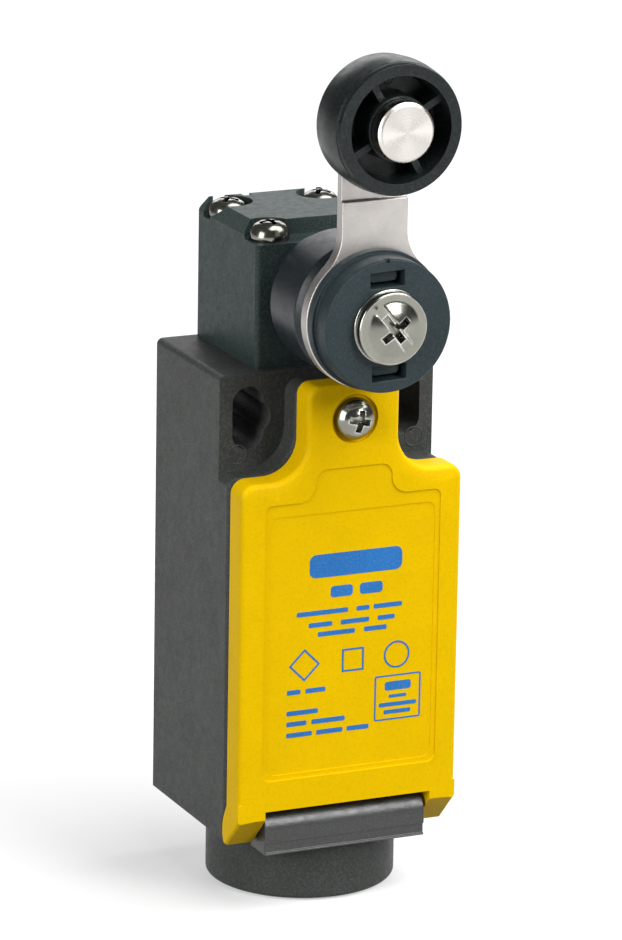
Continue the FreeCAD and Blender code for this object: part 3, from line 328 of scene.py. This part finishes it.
def frame_pad(bm, outer, inner, y_back, y_front):
    """Closed outline frame between two outlines with the same number of points."""
    loops = []
    for outline in (outer, inner):
        for y in (y_back, y_front):
            loops.append([bm.verts.new((x * MM, y * MM, z * MM)) for x, z in outline])
    outer_back, outer_front, inner_back, inner_front = loops
    loop_walls(bm, outer_back, outer_front)
    loop_walls(bm, inner_front, inner_back)
    loop_walls(bm, outer_front, inner_front)
    loop_walls(bm, inner_back, outer_back)


def loop_walls(bm, a, b):
    """Ring of four-sided faces between two loops with the same number of points."""
    count = len(a)
    for i in range(count):
        j = (i + 1) % count
        bm.faces.new((a[i], a[j], b[j], b[i]))


# Print on the cover: bars are (left x, right x, z, half height), rows of dashes share one z, all in mm.
PRINT_DEPTH, INK_THICK, INK_ROOT = 0.25, 0.03, 0.03
PRINT_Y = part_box("front_cover")[0].y / MM + PRINT_DEPTH
LINE_HALF = 0.32
BAR_ROUND = 0.6  # corner radius of a bar, in parts of its half height
TITLE_BARS = ((-5.9, 7.1, -18.0, 1.55), (-2.9, 0.2, -21.6, 0.75), (1.2, 4.4, -21.6, 0.75))
TEXT_ROWS = {
    -24.2: ((-7.6, -0.4), (0.8, 2.6), (3.2, 7.2)),
    -25.8: ((-5.9, -2.6), (-1.4, 2.6), (3.8, 6.2)),
    -27.1: ((-4.6, 0.6), (1.9, 5.1)),
    -34.5: ((-8.8, -6.9), (-6.2, -3.4)),
    -37.3: ((-8.8, -4.4),),
    -38.75: ((-8.8, -6.0), (-5.3, -0.6)),
    -40.25: ((-8.8, -5.2), (-4.6, -0.9), (-0.3, 2.8)),
}
BADGE, BADGE_LINE, BADGE_ROUND = (3.55, 10.1, -39.8, -33.7), 0.22, (0.3, 0.1)
BADGE_BARS = ((5.0, 8.7, -35.2, 0.6), (5.6, 8.1, -36.6, 0.22),
              (4.2, 9.5, -37.7, 0.28), (4.9, 8.7, -38.7, 0.28))
SIGN_Z, SIGN_LINE, SQUARE_CORNER = -31.0, 0.26, 1.414
SQUARE_R, CIRCLE_R = 2.1875, 1.8375  # to a corner
SIGNS = ((-6.4, 4, 0, SQUARE_R), (0.4, 4, 45, SQUARE_R), (6.6, 32, 0, CIRCLE_R))  # x, corners, turn, radius


def make_print():
    """Generic print in place of marks and wording: bars, dashes and three plain outline shapes."""
    bm = bmesh.new()
    back, front = PRINT_Y + INK_ROOT, PRINT_Y - INK_THICK
    bars = [(x0, x1, z, h) for x0, x1, z, h in TITLE_BARS + BADGE_BARS]
    bars += [(x0, x1, z, LINE_HALF) for z, dashes in TEXT_ROWS.items() for x0, x1 in dashes]
    for x0, x1, z, half in bars:
        pad(bm, rounded_outline(x0, x1, z - half, z + half, half * BAR_ROUND), back, front)
    x0, x1, z0, z1 = BADGE
    line = BADGE_LINE
    frame_pad(bm, rounded_outline(x0, x1, z0, z1, BADGE_ROUND[0]),
              rounded_outline(x0 + line, x1 - line, z0 + line, z1 - line, BADGE_ROUND[1]), back, front)
    for x, corners, turn, rim in SIGNS:
        angles = [math.radians(turn + 360 * i / corners) for i in range(corners)]
        line_at_corner = SIGN_LINE * (SQUARE_CORNER if corners == 4 else 1)
        outlines = [[(x + radius * math.cos(a), SIGN_Z + radius * math.sin(a)) for a in angles]
                    for radius in (rim, rim - line_at_corner)]
        frame_pad(bm, *outlines, back, front)
    add_piece("cover_print", bm, INK_BLUE, "cover")


# A ridge's cross-section from its root inside the face to its crown, in parts of its width and height.
RIDGE = ((-0.5, -0.4), (-0.5, 0.3), (-0.2, 0.8), (0.2, 0.8), (0.5, 0.3), (0.5, -0.4))
RIDGE_HIGH = 0.08
TO_FRONT = Vector((0, -1, 0))


def ring_on(bm, centre, radius, width, segments=40):
    """Thin rounded ridge ring standing on a face that looks to the front."""
    across, up = Vector((1, 0, 0)), Vector((0, 0, 1))
    loops = []
    for i in range(segments):
        a = 2 * math.pi * i / segments
        out = across * math.cos(a) + up * math.sin(a)
        points = [Vector(centre) + out * (radius + u * width) + TO_FRONT * (v * RIDGE_HIGH) for u, v in RIDGE]
        loops.append([bm.verts.new(point * MM) for point in points])
    for i in range(segments):
        loop_walls(bm, loops[i], loops[(i + 1) % segments])


EAR_MARK, EAR_MARK_R, EAR_MARK_WIDE = (12.4, -20.5, -4.7), 1.25, 0.16


def make_ear_marks():
    """Ejector-pin witness ring on the front of each ear."""
    bm = bmesh.new()
    x, y, z = EAR_MARK
    for side in (-1, 1):
        ring_on(bm, (side * x, y, z), EAR_MARK_R, EAR_MARK_WIDE)
    add_piece("ear_marks", bm, MATERIALS["body_plastic"], "base", smooth=True)


ROLLER_MARK, ROLLER_MARK_R, ROLLER_MARK_WIDE = (0.2, -36.6, 5.5), 0.6, 0.12  # z is above the roller's axis


def make_roller_mark():
    """Small ring in the floor of the roller's front recess."""
    bm = bmesh.new()
    x, y, above = ROLLER_MARK
    ring_on(bm, (x, y, ROLLER_AXIS[1] / MM + above), ROLLER_MARK_R, ROLLER_MARK_WIDE, 28)
    add_piece("roller_mark", bm, MATERIALS["roller_plastic"], "roller", smooth=True)


ENTRY_Y, ENTRY_R = -14.4, 9.25  # bore of the cable entry, mm
THREAD_PITCH, THREAD_TALL, THREAD_START, THREAD_SUNK = 1.5, 0.32, 0.9, 0.03
ROOT_HALF, CREST_HALF = 0.62, 0.12
THREAD_TURNS, STEPS_PER_TURN, RUN_OUT_STEPS, LEAST_TALL = 4.6, 72, 18, 0.05


def make_entry_thread():
    """Helical ridge inside the cable entry, fading in and out over a quarter turn."""
    bm = bmesh.new()
    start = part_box("housing")[0].z / MM + THREAD_START
    steps = THREAD_TURNS * STEPS_PER_TURN
    root = ENTRY_R + THREAD_SUNK
    loops = []
    for i in range(int(steps) + 1):
        a = 2 * math.pi * i / STEPS_PER_TURN
        z = start + THREAD_PITCH * i / STEPS_PER_TURN
        fade = min(1.0, i / RUN_OUT_STEPS, (steps - i) / RUN_OUT_STEPS + LEAST_TALL)
        crest = ENTRY_R - THREAD_TALL * max(fade, LEAST_TALL)
        loop = []
        for radius, dz in ((root, -ROOT_HALF), (crest, -CREST_HALF), (crest, CREST_HALF), (root, ROOT_HALF)):
            x, y = radius * math.cos(a), ENTRY_Y + radius * math.sin(a)
            loop.append(bm.verts.new((x * MM, y * MM, (z + dz) * MM)))
        loops.append(loop)
    for a, b in zip(loops, loops[1:]):
        loop_walls(bm, a, b)
    bm.faces.new(loops[0])
    bm.faces.new(reversed(loops[-1]))
    add_piece("entry_thread", bm, MATERIALS["body_plastic"], "base")


make_print()
make_ear_marks()
make_roller_mark()
make_entry_thread()

# --- stage, light, camera ---------------------------------------------------------------------


FLOOR_HALF, FLOOR_GAP, FLOOR_PALE, FLOOR_GLOW = 6.0, 0.0002, 0.55, 0.42
WORLD_GLOW = 0.13
LIGHTS = {  # place from the part's centre in metres, size in metres, power in watts
    "key": ((0.36, -0.27, 0.79), (0.9, 0.9), 12.0),
    "front": ((0.35, -0.80, 0.45), (0.35, 0.35), 5.4),
    "left": ((-0.83, -0.24, 0.18), (0.4, 0.7), 6.3),
    "back": ((0.36, 0.85, 0.34), (0.9, 0.4), 2.4),
}
CAMERA_AT = Vector((-294.73, -663.11, 192.75)) * MM
CAMERA_RIGHT, CAMERA_UP = Vector((0.9118, -0.4102, 0.0163)), Vector((0.0978, 0.2556, 0.9618))
LENS, SENSOR = 219.2, 36.0


def area_light(name, at, towards, size, power):
    data = bpy.data.lights.new(name, "AREA")
    data.shape = "RECTANGLE"
    data.size, data.size_y = size
    data.energy = power
    light = bpy.data.objects.new(name, data)
    light.location = at
    light.rotation_mode = "QUATERNION"
    light.rotation_quaternion = (Vector(towards) - Vector(at)).to_track_quat("-Z", "Y")
    scene.collection.objects.link(light)


def make_floor():
    """Pale glowing paper under the part. It is seen and mirrored, but throws no light on the part."""
    half, z = FLOOR_HALF, cad_low.z - FLOOR_GAP
    mesh = bpy.data.meshes.new("floor")
    corners = [(-half, -half, z), (half, -half, z), (half, half, z), (-half, half, z)]
    mesh.from_pydata(corners, [], [(0, 1, 2, 3)])
    floor = bpy.data.objects.new("floor", mesh)
    scene.collection.objects.link(floor)
    mat = bpy.data.materials.new("floor_paper")
    mat.use_nodes = True
    shader = next(n for n in mat.node_tree.nodes if n.type == "BSDF_PRINCIPLED")
    shader.inputs["Base Color"].default_value = (FLOOR_PALE, FLOOR_PALE, FLOOR_PALE, 1)
    shader.inputs["Roughness"].default_value = 0.9
    shader.inputs["Emission Color"].default_value = (1, 1, 1, 1)
    shader.inputs["Emission Strength"].default_value = FLOOR_GLOW
    mesh.materials.append(mat)
    floor.visible_diffuse = False


def make_world():
    world = bpy.data.worlds.new("studio")
    world.use_nodes = True
    background = world.node_tree.nodes["Background"]
    background.inputs["Color"].default_value = (1, 1, 1, 1)
    background.inputs["Strength"].default_value = WORLD_GLOW
    scene.world = world


def make_camera():
    data = bpy.data.cameras.new("camera")
    data.sensor_fit = "VERTICAL"
    data.sensor_height = data.sensor_width = SENSOR
    data.lens = LENS
    data.clip_start, data.clip_end = 0.01, 50
    camera = bpy.data.objects.new("camera", data)
    scene.collection.objects.link(camera)
    rotation = Matrix((CAMERA_RIGHT, CAMERA_UP, CAMERA_RIGHT.cross(CAMERA_UP))).transposed()
    camera.matrix_world = Matrix.Translation(CAMERA_AT) @ rotation.to_4x4()
    scene.camera = camera


make_floor()
make_world()
centre = (cad_low + cad_high) / 2
for name, (offset, size, power) in LIGHTS.items():
    area_light(name, centre + Vector(offset), centre, size, power)
make_camera()
scene.view_settings.view_transform = "Standard"
